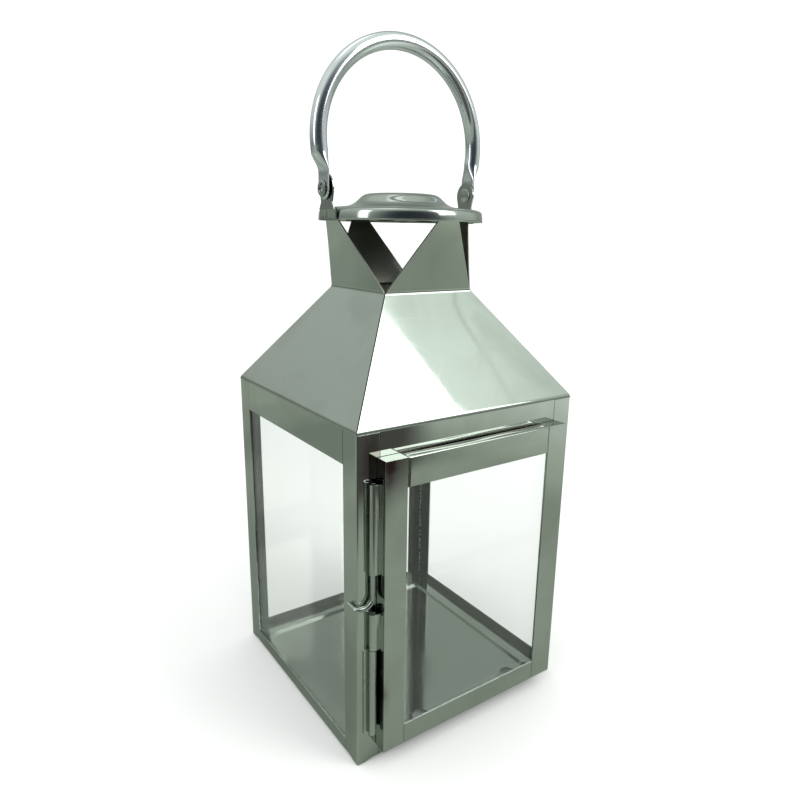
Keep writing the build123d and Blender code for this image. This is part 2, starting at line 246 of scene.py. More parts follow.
eye = bpy.data.cameras.new("camera")
eye.sensor_width = 36
eye.lens = 29.47
eye.shift_x = -0.0121
eye.shift_y = 0.0051
camera = bpy.data.objects.new("camera", eye)
bpy.context.scene.collection.objects.link(camera)
turned = Matrix.Rotation(radians(-35.274), 4, "Z")
raised = Matrix.Rotation(radians(90 - 14.691), 4, "X")
rolled = Matrix.Rotation(radians(1.004), 4, "Z")
camera.matrix_world = Matrix.Translation((-0.22673, -0.33320, 0.28498)) @ turned @ raised @ rolled
bpy.context.scene.camera = camera
bpy.context.scene.view_settings.view_transform = "Standard"


# ---- Corner posts
# Four angles folded from one strip of mirror-polished stainless sheet each. The fold is rounded,
# the flanges are cut short of the ground, and each flange is spot welded to the rails and roof.
def new_group(name, numbers, colours, results):
    """A node group with named number and colour inputs and (name, kind) outputs."""
    group = bpy.data.node_groups.new(name, "ShaderNodeTree")
    for label, value in numbers.items():
        socket = group.interface.new_socket(label, in_out="INPUT", socket_type="NodeSocketFloat")
        socket.default_value = value
    for label, value in colours.items():
        socket = group.interface.new_socket(label, in_out="INPUT", socket_type="NodeSocketColor")
        socket.default_value = value
    for label, kind in results:
        group.interface.new_socket(label, in_out="OUTPUT", socket_type=kind)
    return group, add_node(group, "NodeGroupInput"), add_node(group, "NodeGroupOutput")


def rolled_sheet_group():
    """Slow waves left by rolling and folding, with fine drawn grain over them."""
    group, given, out = new_group(
        "rolled_sheet",
        {"Wave": 0.00025, "Span": 16.0, "Streak": 0.00001, "Grain": 0.000002},
        {},
        [("Normal", "NodeSocketVector")],
    )
    place = add_node(group, "ShaderNodeTexCoord")
    waves = add_node(group, "ShaderNodeTexNoise")
    waves.inputs["Detail"].default_value = 1.0
    waves.inputs["Roughness"].default_value = 0.35
    first = add_node(group, "ShaderNodeBump")
    stretch = add_node(group, "ShaderNodeMapping")
    stretch.inputs["Scale"].default_value = (900, 900, 60)
    grain = add_node(group, "ShaderNodeTexNoise")
    grain.inputs["Scale"].default_value = 1.0
    grain.inputs["Detail"].default_value = 2.0
    second = add_node(group, "ShaderNodeBump")
    draw = add_node(group, "ShaderNodeMapping")
    draw.inputs["Scale"].default_value = (110, 110, 5)
    streaks = add_node(group, "ShaderNodeTexNoise")
    streaks.inputs["Scale"].default_value = 1.0
    streaks.inputs["Detail"].default_value = 1.0
    third = add_node(group, "ShaderNodeBump")
    group.links.new(place.outputs["Object"], waves.inputs["Vector"])
    group.links.new(given.outputs["Span"], waves.inputs["Scale"])
    group.links.new(waves.outputs["Fac"], first.inputs["Height"])
    group.links.new(given.outputs["Wave"], first.inputs["Distance"])
    group.links.new(place.outputs["Object"], stretch.inputs["Vector"])
    group.links.new(stretch.outputs["Vector"], grain.inputs["Vector"])
    group.links.new(grain.outputs["Fac"], second.inputs["Height"])
    group.links.new(given.outputs["Grain"], second.inputs["Distance"])
    group.links.new(first.outputs["Normal"], second.inputs["Normal"])
    group.links.new(place.outputs["Object"], draw.inputs["Vector"])
    group.links.new(draw.outputs["Vector"], streaks.inputs["Vector"])
    group.links.new(streaks.outputs["Fac"], third.inputs["Height"])
    group.links.new(given.outputs["Streak"], third.inputs["Distance"])
    group.links.new(second.outputs["Normal"], third.inputs["Normal"])
    group.links.new(third.outputs["Normal"], out.inputs["Normal"])
    return group


def handled_steel_group():
    """Roughness from finger smears and hairline scratches, and a slight drift of tone."""
    group, given, out = new_group(
        "handled_steel",
        {"Polish": 0.035, "Smear": 0.07, "Scratch": 0.1},
        {"Tone": (0.43, 0.465, 0.43, 1), "Dull tone": (0.38, 0.41, 0.375, 1)},
        [("Color", "NodeSocketColor"), ("Roughness", "NodeSocketFloat")],
    )
    place = add_node(group, "ShaderNodeTexCoord")
    smears = add_node(group, "ShaderNodeTexNoise")
    smears.inputs["Scale"].default_value = 24.0
    smears.inputs["Detail"].default_value = 5.0
    smears.inputs["Distortion"].default_value = 0.6
    patch = add_node(group, "ShaderNodeMapRange", interpolation_type="SMOOTHSTEP")
    patch.inputs["From Min"].default_value = 0.45
    patch.inputs["From Max"].default_value = 0.72
    hairs = add_node(group, "ShaderNodeTexVoronoi", feature="DISTANCE_TO_EDGE")
    hairs.inputs["Scale"].default_value = 34.0
    thin = add_node(group, "ShaderNodeMapRange")
    thin.inputs["From Min"].default_value = 0.004
    thin.inputs["From Max"].default_value = 0.0
    soft = add_node(group, "ShaderNodeMath", operation="MULTIPLY_ADD")
    marked = add_node(group, "ShaderNodeMath", operation="MULTIPLY_ADD", use_clamp=True)
    tone = add_node(group, "ShaderNodeMix", data_type="RGBA")
    group.links.new(place.outputs["Object"], smears.inputs["Vector"])
    group.links.new(smears.outputs["Fac"], patch.inputs["Value"])
    group.links.new(place.outputs["Object"], hairs.inputs["Vector"])
    group.links.new(hairs.outputs["Distance"], thin.inputs["Value"])
    group.links.new(patch.outputs["Result"], soft.inputs[0])
    group.links.new(given.outputs["Smear"], soft.inputs[1])
    group.links.new(given.outputs["Polish"], soft.inputs[2])
    group.links.new(thin.outputs["Result"], marked.inputs[0])
    group.links.new(given.outputs["Scratch"], marked.inputs[1])
    group.links.new(soft.outputs["Value"], marked.inputs[2])
    group.links.new(patch.outputs["Result"], tone.inputs["Factor"])
    group.links.new(given.outputs["Tone"], tone.inputs["A"])
    group.links.new(given.outputs["Dull tone"], tone.inputs["B"])
    group.links.new(tone.outputs["Result"], out.inputs["Color"])
    group.links.new(marked.outputs["Value"], out.inputs["Roughness"])
    return group


def heat_stain_group():
    """Brown and violet tint round a weld on upright faces, longer along the post than across it."""
    group, given, out = new_group(
        "heat_stain",
        {"Reach": 0.010, "Strength": 0.9},
        {"Tone": (0.4, 0.4, 0.4, 1)},
        [("Color", "NodeSocketColor")],
    )
    group.interface.new_socket("Spot", in_out="INPUT", socket_type="NodeSocketVector")
    place = add_node(group, "ShaderNodeTexCoord")
    apart = add_node(group, "ShaderNodeVectorMath", operation="SUBTRACT")
    squash = add_node(group, "ShaderNodeVectorMath", operation="MULTIPLY")
    squash.inputs[1].default_value = (1.0, 0.2, 0.42)
    length = add_node(group, "ShaderNodeVectorMath", operation="LENGTH")
    rough = add_node(group, "ShaderNodeTexNoise")
    rough.inputs["Scale"].default_value = 160.0
    rough.inputs["Detail"].default_value = 3.0
    ragged = add_node(group, "ShaderNodeMath", operation="MULTIPLY_ADD")
    ragged.inputs[1].default_value = 0.006
    share = add_node(group, "ShaderNodeMath", operation="DIVIDE")
    colours = add_node(group, "ShaderNodeValToRGB")
    ramp = colours.color_ramp
    ramp.elements[0].position = 0.15
    ramp.elements[0].color = (0.075, 0.052, 0.038, 1)
    ramp.elements[1].position = 1.0
    ramp.elements[1].color = (0.33, 0.33, 0.31, 1)
    for position, colour in (
        (0.42, (0.14, 0.095, 0.065, 1)),
        (0.62, (0.19, 0.135, 0.14, 1)),
        (0.80, (0.26, 0.25, 0.27, 1)),
    ):
        ramp.elements.new(position).color = colour
    fade = add_node(group, "ShaderNodeMapRange", interpolation_type="SMOOTHSTEP")
    fade.inputs["From Min"].default_value = 1.05
    fade.inputs["From Max"].default_value = 0.55
    amount = add_node(group, "ShaderNodeMath", operation="MULTIPLY")
    surface = add_node(group, "ShaderNodeNewGeometry")
    facing = add_node(group, "ShaderNodeSeparateXYZ")
    level = add_node(group, "ShaderNodeMath", operation="ABSOLUTE")
    upright = add_node(group, "ShaderNodeMath", operation="SUBTRACT", use_clamp=True)
    upright.inputs[0].default_value = 1.0
    kept = add_node(group, "ShaderNodeMath", operation="MULTIPLY")
    mixed = add_node(group, "ShaderNodeMix", data_type="RGBA")
    group.links.new(place.outputs["Object"], apart.inputs[0])
    group.links.new(given.outputs["Spot"], apart.inputs[1])
    group.links.new(apart.outputs["Vector"], squash.inputs[0])
    group.links.new(squash.outputs["Vector"], length.inputs[0])
    group.links.new(place.outputs["Object"], rough.inputs["Vector"])
    group.links.new(rough.outputs["Fac"], ragged.inputs[0])
    group.links.new(length.outputs["Value"], ragged.inputs[2])
    group.links.new(ragged.outputs["Value"], share.inputs[0])
    group.links.new(given.outputs["Reach"], share.inputs[1])
    group.links.new(share.outputs["Value"], colours.inputs["Fac"])
    group.links.new(share.outputs["Value"], fade.inputs["Value"])
    group.links.new(fade.outputs["Result"], amount.inputs[0])
    group.links.new(given.outputs["Strength"], amount.inputs[1])
    group.links.new(surface.outputs["True Normal"], facing.inputs[0])
    group.links.new(facing.outputs["Z"], level.inputs[0])
    group.links.new(level.outputs["Value"], upright.inputs[1])
    group.links.new(amount.outputs["Value"], kept.inputs[0])
    group.links.new(upright.outputs["Value"], kept.inputs[1])
    group.links.new(kept.outputs["Value"], mixed.inputs["Factor"])
    group.links.new(given.outputs["Tone"], mixed.inputs["A"])
    group.links.new(colours.outputs["Color"], mixed.inputs["B"])
    group.links.new(mixed.outputs["Result"], out.inputs["Color"])
    return group


rolled_sheet = rolled_sheet_group()
handled_steel = handled_steel_group()
heat_stain = heat_stain_group()


def steel(name, wave, span, streak=0.0, **finish):
    """Polished steel whose tone, smears and waves come from the two shared groups."""
    made = bpy.data.materials.new(name)
    made.use_nodes = True
    tree = made.node_tree
    metal = tree.nodes["Principled BSDF"]
    metal.inputs["Metallic"].default_value = 1.0
    marks = add_node(tree, "ShaderNodeGroup", node_tree=handled_steel)
    for label, value in finish.items():
        marks.inputs[label.replace("_", " ").capitalize()].default_value = value
    waves = add_node(tree, "ShaderNodeGroup", node_tree=rolled_sheet)
    waves.inputs["Wave"].default_value = wave
    waves.inputs["Span"].default_value = span
    waves.inputs["Streak"].default_value = streak
    tree.links.new(marks.outputs["Color"], metal.inputs["Base Color"])
    tree.links.new(marks.outputs["Roughness"], metal.inputs["Roughness"])
    tree.links.new(waves.outputs["Normal"], metal.inputs["Normal"])
    return made


def stained(material, spots):
    """Adds one heat stain for each (place, reach, strength) over the material's own tone."""
    tree = material.node_tree
    metal = tree.nodes["Principled BSDF"]
    for spot, reach, strength in spots:
        stain = add_node(tree, "ShaderNodeGroup", node_tree=heat_stain)
        stain.inputs["Spot"].default_value = spot
        stain.inputs["Reach"].default_value = reach
        stain.inputs["Strength"].default_value = strength
        tree.links.new(metal.inputs["Base Color"].links[0].from_socket, stain.inputs["Tone"])
        tree.links.new(stain.outputs["Color"], metal.inputs["Base Color"])
    return material


def softened(node, edge, material, body):
    """The CAD piece with its triangles merged to flats and every sharp edge slightly rounded."""
    bm = bmesh.new()
    bm.from_mesh(frame["nodes"][node].data)
    bmesh.ops.remove_doubles(bm, verts=bm.verts, dist=0.000002)
    bmesh.ops.dissolve_limit(bm, angle_limit=radians(0.5), verts=bm.verts, edges=bm.edges)
    piece = own_object(node + "_finished", bm)
    rounding = piece.modifiers.new("rounding", "BEVEL")
    rounding.width = edge
    rounding.segments = 2
    rounding.limit_method = "ANGLE"
    rounding.angle_limit = radians(32)
    rounding.harden_normals = True
    piece.data.shade_smooth()
    piece.data.set_sharp_from_angle(angle=radians(28))
    piece.data.materials.clear()
    piece.data.materials.append(material)
    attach(piece, body)
    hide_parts(node)


post_steel = steel("polished_post_sheet", wave=0.00022, span=24.0, streak=0.00003)
hinge_post_steel = stained(
    steel("hinge_post_sheet", wave=0.00022, span=24.0, streak=0.00003),
    (((-0.0660, -0.0750, 0.176), 0.0115, 0.55), ((-0.0655, -0.0750, 0.050), 0.0085, 0.60)),
)
softened("post_front_left", 0.00018, hinge_post_steel, "lantern")
for corner in ("front_right", "rear_left", "rear_right"):
    softened("post_" + corner, 0.00018, post_steel, "lantern")


# ---- Base
# A flat floor plate with two air holes, a plain strip under the door, and three rails whose
# inner edge is folded down as a shelf for the glass.
INWARD_TURNS = {"front": 0, "right": 90, "rear": 180, "left": 270}
base_steel = steel(
    "polished_base_sheet", wave=0.00005, span=9.0, polish=0.09, smear=0.10, tone=(0.38, 0.41, 0.38, 1)
)
softened("base_floor", 0.00012, base_steel, "lantern")
for side in INWARD_TURNS:
    softened("rail_" + side, 0.00015, post_steel, "lantern")


# ---- Spot welds
# The sheets are joined by spot welding. The electrodes leave small round dimples with a raised
# rim in the steel of the flanges and leaves, and the heat leaves them darker.
WELD_RADIUS = 0.0011
WELD_RIM = 0.00005
WELD_DIP = 0.00003
WELD_SINK = 0.00004
weld_steel = steel(
    "weld_dimple_steel", wave=0.00001, span=200.0, polish=0.22, tone=(0.20, 0.19, 0.17, 1)
)
welds = {
    "lantern": [
        ((-1, 0, 0), (-0.0750, -0.0685, 0.1833)), ((-1, 0, 0), (-0.0750, -0.0685, 0.1755)),
        ((-1, 0, 0), (-0.0750, 0.0685, 0.1833)), ((-1, 0, 0), (-0.0750, 0.0685, 0.0052)),
        ((0, -1, 0), (-0.0685, -0.0750, 0.1810)), ((0, -1, 0), (0.0685, -0.0750, 0.1815)),
        ((0, -1, 0), (0.0690, -0.0750, 0.0055)), ((-1, 0, 0), (-0.0750, -0.0685, 0.0050)),
        ((1, 0, 0), (0.0750, -0.0685, 0.1820)), ((1, 0, 0), (0.0750, 0.0685, 0.1820)),
        ((1, 0, 0), (0.0750, -0.0685, 0.0050)), ((1, 0, 0), (0.0750, 0.0685, 0.0050)),
        ((0, 1, 0), (-0.0685, 0.0750, 0.1820)), ((0, 1, 0), (0.0685, 0.0750, 0.1820)),
        ((0, 1, 0), (-0.0685, 0.0750, 0.0050)), ((0, 1, 0), (0.0685, 0.0750, 0.0050)),
        ((0, -1, 0), (-0.0700, -0.0758, 0.0640)), ((0, -1, 0), (-0.0700, -0.0758, 0.0300)),
        ((0, -1, 0), (-0.0700, -0.0758, 0.0225)),
    ],
    "door": [
        ((0, -1, 0), (-0.0545, -0.0830, 0.1610)), ((0, -1, 0), (0.0545, -0.0830, 0.1690)),
        ((0, -1, 0), (-0.0560, -0.0830, 0.0135)), ((0, -1, 0), (0.0560, -0.0830, 0.0135)),
    ],
}
for body, marks in welds.items():
    bm = bmesh.new()
    for facing, spot in marks:
        facing = Vector(facing)
        dimple = bmesh.ops.create_circle(bm, cap_ends=True, segments=20, radius=WELD_RADIUS)["verts"]
        disc = dimple[0].link_faces[0]
        bmesh.ops.inset_region(bm, faces=[disc], thickness=WELD_RADIUS * 0.28, depth=WELD_RIM)
        bmesh.ops.inset_region(bm, faces=[disc], thickness=WELD_RADIUS * 0.30, depth=-WELD_DIP)
        island = {v for v in disc.verts}
        for _ in range(3):
            island |= {e.other_vert(v) for v in island for e in v.link_edges}
        turn = facing.to_track_quat("Z", "Y").to_matrix()
        bmesh.ops.rotate(bm, verts=list(island), cent=(0, 0, 0), matrix=turn)
        bmesh.ops.translate(bm, verts=list(island), vec=Vector(spot) - facing * WELD_SINK)
    bmesh.ops.recalc_face_normals(bm, faces=bm.faces)
    dots = own_object("spot_welds_" + body, bm)
    dots.data.shade_smooth()
    dots.data.materials.append(weld_steel)
    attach(dots, body)


# ---- Glass sides
# Three panes of plain 2 mm float glass with faint finger smears. They stand on the shelves of
# the rails, inside the posts.
clear_glass = bpy.data.materials.new("clear_glass")
clear_glass.use_nodes = True
pane = clear_glass.node_tree.nodes["Principled BSDF"]
pane.inputs["Base Color"].default_value = (0.980, 0.994, 0.985, 1)
pane.inputs["Transmission Weight"].default_value = 1.0
pane.inputs["IOR"].default_value = 1.5
fingers = add_node(clear_glass.node_tree, "ShaderNodeGroup", node_tree=handled_steel)
for label, value in (("Polish", 0.0), ("Smear", 0.025), ("Scratch", 0.0)):
    fingers.inputs[label].default_value = value
clear_glass.node_tree.links.new(fingers.outputs["Roughness"], pane.inputs["Roughness"])
for side in ("left", "rear", "right"):
    softened("glass_" + side, 0.0003, clear_glass, "lantern")


# The cut end of the right pane in the rear corner is left rough; its chips are coloured near white as
# a painted highlight along the corner.
CHIP_INSET = 0.0004
CHIP_DEPTH = 0.0003
CHIP_MARGIN = 0.004
chip_painted_highlight = bpy.data.materials.new("rough_glass_edge")
chip_painted_highlight.use_nodes = True
tree = chip_painted_highlight.node_tree
chip = tree.nodes["Principled BSDF"]
speckle = add_node(tree, "ShaderNodeTexNoise")
speckle.inputs["Scale"].default_value = 900.0
chip_tone = add_node(tree, "ShaderNodeValToRGB")
# Painted highlight: pale grey-green to near-white chip colours.
chip_tone.color_ramp.elements[0].color = (0.55, 0.62, 0.58, 1)
chip_tone.color_ramp.elements[1].color = (0.92, 0.96, 0.94, 1)
where = add_node(tree, "ShaderNodeTexCoord")
tree.links.new(where.outputs["Object"], speckle.inputs["Vector"])
tree.links.new(speckle.outputs["Fac"], chip_tone.inputs["Fac"])
tree.links.new(chip_tone.outputs["Color"], chip.inputs["Base Color"])
chip.inputs["Roughness"].default_value = 0.35
pane_low, pane_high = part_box("glass_right")
bm = bmesh.new()
along = pane_low.z + CHIP_MARGIN
turn = 0
while along < pane_high.z - CHIP_MARGIN:
    length = 0.0012 + 0.0030 * abs(noise.noise(Vector((turn * 1.7, 3.1, 0.4))))
    flake = bmesh.ops.create_cone(
        bm, cap_ends=True, segments=6, radius1=0.00034, radius2=0.00018, depth=length
    )["verts"]
    place = (pane_low.x - CHIP_INSET, pane_high.y - CHIP_DEPTH, along + length / 2)
    bmesh.ops.translate(bm, verts=flake, vec=place)
    along += length + 0.0006 + 0.0045 * abs(noise.noise(Vector((turn * 2.3, 7.7, 1.9))))
    turn += 1
chips = own_object("rough_glass_edges", bm)
chips.data.materials.append(chip_painted_highlight)
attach(chips, "lantern")


# ---- Roof
# Four folded sheets meet at the hips. Each has an upright fascia, a slope, and a tapered tab that
# leans out under the cap. Hand forming leaves shallow dents in the slopes.
SHEET = 0.0008
ROOF_HALF = cad_high.x
BAND_HALF = 0.0613
SLOPE_FOOT = 0.1916
NECK_HALF = 0.0304
NECK_HEIGHT = 0.2524
TAB_REACH = 0.0467
TAB_BEND_HEIGHT = 0.2915
TAB_BEND_HALF = 0.0072
TAB_END_HEIGHT = 0.2952
TAB_END_HALF = 0.0050
HIP_GAP = 0.0005
FOLD = 0.0013
# Dark, rough steel: the unpolished back of the roof sheets, and on the door's top rail painted shade
# in the gap behind the flange.
unpolished_back_and_gap_shade = steel(
    "unpolished_back_and_painted_gap_shade", wave=0.00005, span=30.0, polish=0.34, smear=0.1, tone=(0.16, 0.157, 0.142, 1),
    dull_tone=(0.20, 0.195, 0.175, 1),
)
roof_steel = steel("polished_roof_sheet", wave=0.00010, span=15.0)
fascia_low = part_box("roof_panel_front")[0].z
post_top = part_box("post_front_left")[1].z


def stretched_edge(bm, edges, y, z, halves):
    """Pulls a row of edges out to a new row at (y, z) whose points lie at the given half widths."""
    pulled = bmesh.ops.extrude_edge_only(bm, edges=edges)["geom"]
    row = sorted((v for v in pulled if isinstance(v, bmesh.types.BMVert)), key=lambda v: v.co.x)
    for point, across in zip(row, halves):
        point.co = (across, y, z)
    return [e for e in pulled if isinstance(e, bmesh.types.BMEdge)]


def roof_sheet(side, dent):
    """One panel: fascia, slope and tab, folded, dented by hand forming and given its thickness."""
    bm = bmesh.new()
    corners = (-ROOF_HALF, -BAND_HALF, BAND_HALF, ROOF_HALF)
    spots = [bm.verts.new((x, -ROOF_HALF, post_top)) for x in corners]
    eave = [bm.edges.new(pair) for pair in zip(spots, spots[1:])]
    stretched_edge(bm, eave[1:2], -ROOF_HALF, fascia_low, (-BAND_HALF, BAND_HALF))
    share = BAND_HALF / ROOF_HALF
    row = eave
    for y, z, width in (
        (ROOF_HALF, SLOPE_FOOT, ROOF_HALF),
        (NECK_HALF, NECK_HEIGHT, NECK_HALF),
        (TAB_REACH, TAB_BEND_HEIGHT, TAB_BEND_HALF),
        (TAB_REACH, TAB_END_HEIGHT, TAB_END_HALF),
    ):
        cut = width - HIP_GAP
        row = stretched_edge(bm, row, -y, z, (-cut, -width * share, width * share, cut))
    bmesh.ops.recalc_face_normals(bm, faces=bm.faces)
    if sum(f.normal.y for f in bm.faces) > 0:
        bmesh.ops.reverse_faces(bm, faces=bm.faces)
    folds = [e for e in bm.edges if len(e.link_faces) == 2 and e.calc_face_angle() > radians(12)]
    bmesh.ops.bevel(bm, geom=folds, offset=FOLD, segments=4, profile=0.5, affect="EDGES", material=-1)
    long_edges = [e for e in bm.edges if e.calc_length() > 0.004]
    bmesh.ops.subdivide_edges(bm, edges=long_edges, cuts=9, use_grid_fill=True)
    bm.normal_update()
    moves = []
    for v in bm.verts:
        slope_half = max(-v.co.y, 0.0)
        from_hip = (slope_half if v.co.z < NECK_HEIGHT else NECK_HALF) - abs(v.co.x)
        hold = min(1.0, max(0.0, from_hip) / 0.014) * min(1.0, abs(v.co.z - SLOPE_FOOT) / 0.006)
        hold *= min(1.0, abs(v.co.z - NECK_HEIGHT) / 0.010)
        where = Vector((v.co.x * 21, v.co.z * 17, INWARD_TURNS[side] * 0.37))
        if abs(v.co.x) < abs(v.co.y) - 0.001 and v.co.z > SLOPE_FOOT:
            moves.append((v, v.normal * dent * hold * (noise.noise(where) - 0.3)))
    for v, move in moves:
        v.co += move
    turn = Matrix.Rotation(radians(INWARD_TURNS[side]), 3, "Z")
    bmesh.ops.rotate(bm, verts=bm.verts, cent=(0, 0, 0), matrix=turn)
    panel = own_object("roof_sheet_" + side, bm)
    panel.data.shade_smooth()
    thick = panel.modifiers.new("sheet thickness", "SOLIDIFY")
    thick.thickness = SHEET
    thick.offset = -1
    thick.material_offset = 1
    thick.material_offset_rim = 1
    rounding = panel.modifiers.new("cut edges", "BEVEL")
    rounding.width = 0.00018
    rounding.segments = 2
    rounding.limit_method = "ANGLE"
    rounding.angle_limit = radians(40)
    flats = panel.modifiers.new("flat faces", "WEIGHTED_NORMAL")
    flats.keep_sharp = True
    panel.data.materials.append(roof_steel)
    panel.data.materials.append(unpolished_back_and_gap_shade)
    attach(panel, "lantern")
    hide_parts("roof_panel_" + side)


for side, dent in (("front", 0.00015), ("right", 0.0006), ("rear", 0.0006), ("left", 0.0006)):
    roof_sheet(side, dent)


# ---- Crown cap
# One disc of polished steel spun to a turned-down rim, a sloping shoulder and a raised boss. It
# rests on the four tabs of the roof.
cap_steel = steel("polished_cap", wave=0.00008, span=30.0, polish=0.11)
cap_low, cap_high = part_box("crown_cap")
cap_line = [
    (cap_high.x, cap_low.z), (0.0481, 0.2958), (0.0472, 0.2971), (0.0446, 0.2980), (0.0400, 0.2985),
    (0.0330, 0.2990), (0.0292, 0.2999), (0.0262, 0.3018), (0.0238, 0.3044), (0.0214, 0.3060),
    (0.0186, cap_high.z), (0.0160, cap_high.z - 0.0002), (0.0135, cap_high.z - 0.0007),
    (0.0100, cap_high.z - 0.0009), (0.0, cap_high.z - 0.0010),
]
bm = bmesh.new()
line = [bm.verts.new((out, 0, up)) for out, up in cap_line]
edges = [bm.edges.new(pair) for pair in zip(line, line[1:])]
bmesh.ops.spin(
    bm, geom=line + edges, cent=(0, 0, 0), axis=(0, 0, 1), angle=2 * pi, steps=64, use_merge=True
)
bmesh.ops.remove_doubles(bm, verts=bm.verts, dist=0.000005)
bmesh.ops.recalc_face_normals(bm, faces=bm.faces)
if max(bm.faces, key=lambda f: f.calc_center_median().z).normal.z < 0:
    bmesh.ops.reverse_faces(bm, faces=bm.faces)
cap = own_object("spun_crown_cap", bm)
cap.data.shade_smooth()
smooth = cap.modifiers.new("spun curve", "SUBSURF")
smooth.levels = smooth.render_levels = 2
thick = cap.modifiers.new("sheet thickness", "SOLIDIFY")
thick.thickness = SHEET
thick.offset = -1
cap.data.materials.append(cap_steel)
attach(cap, "lantern")
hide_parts("crown_cap")


# ---- Handle lugs and rivets
# Two steel strips welded round the cap's rim rise as ears. A tubular rivet, rolled open at one
# end and dished at the other, joins each ear to the handle.
for side in ("left", "right"):
    softened("handle_lug_" + side, 0.0002, cap_steel, "lantern")
rivet_steel = steel("rivet_steel", wave=0.00002, span=90.0, polish=0.10)
PIVOT = next(j for j in frame["joints"] if j["child"] == "handle")["pos_m"]
dished_rivet = [
    (0.0484, 0.0030), (0.0484, 0.0044), (0.0480, 0.0044), (0.0478, 0.0041), (0.0479, 0.0031),
    (0.0482, 0.0016), (0.0483, 0.0),
]
open_rivet = [
    (0.0505, 0.0), (0.0505, 0.0022), (0.0520, 0.0022), (0.0526, 0.0027), (0.0526, 0.0036),
    (0.0523, 0.0043), (0.0519, 0.0044), (0.0519, 0.0030), (0.0484, 0.0030),
]
bm = bmesh.new()
for profile in (dished_rivet, open_rivet):
    line = [bm.verts.new((along, 0, out)) for along, out in profile]
    edges = [bm.edges.new(pair) for pair in zip(line, line[1:])]
    bmesh.ops.spin(
        bm, geom=line + edges, cent=(0, 0, 0), axis=(1, 0, 0), angle=2 * pi, steps=40, use_merge=True
    )
bmesh.ops.remove_doubles(bm, verts=bm.verts, dist=0.000005)
bmesh.ops.translate(bm, verts=bm.verts, vec=(0, PIVOT[1], PIVOT[2]))
twin = bmesh.ops.duplicate(bm, geom=bm.verts[:] + bm.edges[:] + bm.faces[:])["geom"]
twin_points = [v for v in twin if isinstance(v, bmesh.types.BMVert)]
bmesh.ops.rotate(bm, verts=twin_points, cent=(0, 0, 0), matrix=Matrix.Rotation(pi, 3, "Z"))
bmesh.ops.recalc_face_normals(bm, faces=bm.faces)
rivets = own_object("tubular_rivets", bm)
rivets.data.shade_smooth()
rivets.data.set_sharp_from_angle(angle=radians(50))
rivets.data.materials.append(rivet_steel)
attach(rivets, "lantern")
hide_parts("handle_rivets")


# ---- Handle
# A thin steel tube bent to a bow and chromed. Both ends are pressed flat, rounded and pierced
# for the rivets it swings on.
TUBE_RADIUS = 0.0046
BOW_RADIUS = 0.0535
BOW_CENTRE = 0.3338
BOW_TURN = 8
EYE_HALF = 0.0060
EYE_THICK = 0.0010
LEG_X = 0.0506
handle_chrome = steel(
    "handle_chrome", wave=0.00003, span=40.0, polish=0.13, smear=0.08, tone=(0.74, 0.77, 0.80, 1),
    dull_tone=(0.62, 0.65, 0.68, 1),
)


def handle_sections():
    """Centre, tilt, half width and half thickness of the tube from the right eye up and over."""
    for lift in (-0.0059, -0.0055, -0.0048, -0.0036, -0.0018, 0.0, 0.0050, 0.0085):
        width = (EYE_HALF ** 2 - min(lift, 0.0) ** 2) ** 0.5
        yield Vector((LEG_X, 0, PIVOT[2] + lift)), 0.0, width, EYE_THICK
    inward = radians(BOW_TURN)
    start = Vector((BOW_RADIUS * cos(inward), 0, BOW_CENTRE - BOW_RADIUS * sin(inward)))
    low = Vector((LEG_X, 0, PIVOT[2] + 0.0085))
    for step in range(1, 12):
        share = step / 12
        ease = share * share * (3 - 2 * share)
        swell = ease ** 0.8
        spot = low.lerp(start, share)
        spot.x = low.x + (start.x - low.x) * ease
        yield spot, inward * ease, EYE_HALF + (TUBE_RADIUS - EYE_HALF) * ease, (
            EYE_THICK + (TUBE_RADIUS - EYE_THICK) * swell
        )
    steps = 49
    for step in range(steps + 1):
        turn = radians(-BOW_TURN + (90 + BOW_TURN) * step / steps)
        spot = Vector((BOW_RADIUS * cos(turn), 0, BOW_CENTRE + BOW_RADIUS * sin(turn)))
        yield spot, -turn, TUBE_RADIUS, TUBE_RADIUS


bm = bmesh.new()
ring = bmesh.ops.create_circle(bm, cap_ends=False, segments=36, radius=1.0)["verts"]
unit = [v.co.copy() for v in ring]
edges = bm.edges[:]
sections = list(handle_sections())
for place, (spot, tilt, width, thick) in enumerate(sections):
    if place:
        pulled = bmesh.ops.extrude_edge_only(bm, edges=edges)["geom"]
        ring = [v for v in pulled if isinstance(v, bmesh.types.BMVert)]
        edges = [e for e in pulled if isinstance(e, bmesh.types.BMEdge)]
    frame_turn = Matrix.Translation(spot) @ Matrix.Rotation(tilt, 4, "Y")
    for v, base in zip(ring, unit):
        v.co = frame_turn @ Vector((base.x * thick, base.y * width, 0))
    if place == 0:
        bmesh.ops.contextual_create(bm, geom=edges)
half_handle = bm.verts[:] + bm.edges[:] + bm.faces[:]
bmesh.ops.mirror(bm, geom=half_handle, axis="X", merge_dist=0.00002)
bmesh.ops.remove_doubles(bm, verts=bm.verts, dist=0.00002)
bmesh.ops.recalc_face_normals(bm, faces=bm.faces)
bow = own_object("bent_handle", bm)
bow.data.shade_smooth()
bow.data.set_sharp_from_angle(angle=radians(60))
bow.data.materials.append(handle_chrome)
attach(bow, "handle")
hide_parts("handle")


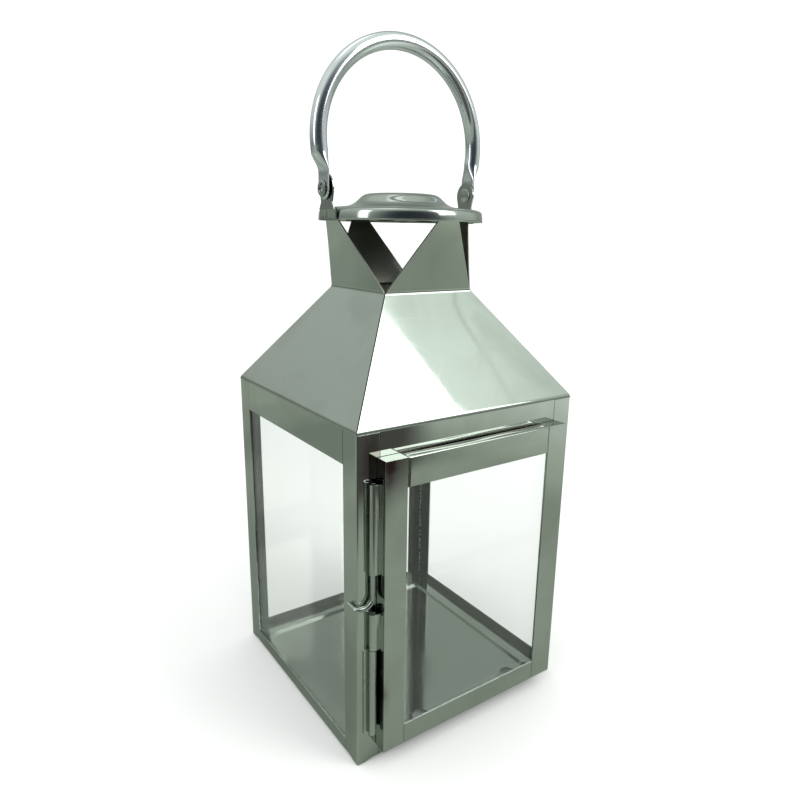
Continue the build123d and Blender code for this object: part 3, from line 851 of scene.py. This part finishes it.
# ---- Door
# Two channel stiles and two folded rails of polished sheet hold a pane between them. The top
# rail's flange has been hammered back from the roof, so it is wavy and leaves a dark gap. The
# flange's rearmost strip and its lip carry the dark steel as painted shade in that gap.
hinge_stile_steel = stained(
    steel("hinge_stile_sheet", wave=0.00022, span=24.0, streak=0.00003),
    (((-0.0600, -0.0830, 0.1745), 0.0088, 0.95), ((-0.0633, -0.0790, 0.045), 0.0075, 0.8)),
)
softened("door_stile_left", 0.0002, hinge_stile_steel, "door")
for part in ("stile_right", "rail_bottom"):
    softened("door_" + part, 0.0002, post_steel, "door")

RAIL_FACE = 0.016
RAIL_LIP = 0.006
RAIL_FOLD = 0.0009
PAINTED_GAP_SHADE_DEPTH = 0.0034
BULGE = 0.0016
SAG = 0.0012
rail_low, rail_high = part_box("door_rail_top")
rail_half = rail_high.x
bm = bmesh.new()
ends = [bm.verts.new((x, rail_low.y, rail_high.z - RAIL_FACE)) for x in (-rail_half, rail_half)]
row = [bm.edges.new(ends)]
for y, z in (
    (rail_low.y, rail_high.z),
    (rail_high.y, rail_high.z),
    (rail_high.y, rail_high.z - RAIL_LIP),
):
    row = stretched_edge(bm, row, y, z, (-rail_half, rail_half))
bmesh.ops.recalc_face_normals(bm, faces=bm.faces)
if min(bm.faces, key=lambda f: f.calc_center_median().y).normal.y > 0:
    bmesh.ops.reverse_faces(bm, faces=bm.faces)
folds = [e for e in bm.edges if len(e.link_faces) == 2]
bmesh.ops.bevel(bm, geom=folds, offset=RAIL_FOLD, segments=4, profile=0.5, affect="EDGES", material=-1)
along = [e for e in bm.edges if abs(e.verts[0].co.x - e.verts[1].co.x) > 0.01]
bmesh.ops.subdivide_edges(bm, edges=along, cuts=60, use_grid_fill=True)
across = [e for e in bm.edges if abs(e.verts[0].co.y - e.verts[1].co.y) > 0.004]
bmesh.ops.subdivide_edges(bm, edges=across, cuts=5, use_grid_fill=True)
for v in bm.verts:
    middle = cos(v.co.x / rail_half * pi / 2)
    depth = (v.co.y - rail_low.y) / (rail_high.y - rail_low.y)
    wobble = 0.5 + 0.5 * noise.noise(Vector((v.co.x * 32, 4.0, 1.0)))
    v.co.y -= BULGE * middle ** 0.5 * depth * (0.55 + 0.45 * wobble)
    if v.co.z > rail_high.z - SAG and depth > 0.05:
        v.co.z -= SAG * middle ** 0.4 * wobble * sin(pi * min(1.0, depth * 1.1)) ** 2
# Painted shade: the faces at the back of the top flange and on its lip take the dark steel.
for face in bm.faces:
    if face.calc_center_median().y > rail_high.y - PAINTED_GAP_SHADE_DEPTH:
        face.material_index = 1
top_rail = own_object("door_top_rail_sheet", bm)
top_rail.data.shade_smooth()
thick = top_rail.modifiers.new("sheet thickness", "SOLIDIFY")
thick.thickness = SHEET
thick.offset = -1
flats = top_rail.modifiers.new("flat faces", "WEIGHTED_NORMAL")
flats.keep_sharp = True
top_rail.data.materials.append(post_steel)
top_rail.data.materials.append(unpolished_back_and_gap_shade)
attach(top_rail, "door")
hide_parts("door_rail_top")
softened("door_glass", 0.0003, clear_glass, "door")


# ---- Hinge
# Barrels rolled from the sheet of the door's edge and of a leaf on the post, held by a straight
# pin below and by a wire above, whose free end is bent into a hook.
wire_steel = steel("hinge_wire_steel", wave=0.00002, span=90.0, polish=0.16)
for part, body in (
    ("door_hinge_upper", "door"),
    ("door_hinge_lower", "door"),
    ("post_hinge", "lantern"),
):
    softened(part, 0.00012, wire_steel, body)
for part in ("hinge_pin", "hinge_wire"):
    softened(part, 0.0002, wire_steel, "lantern")
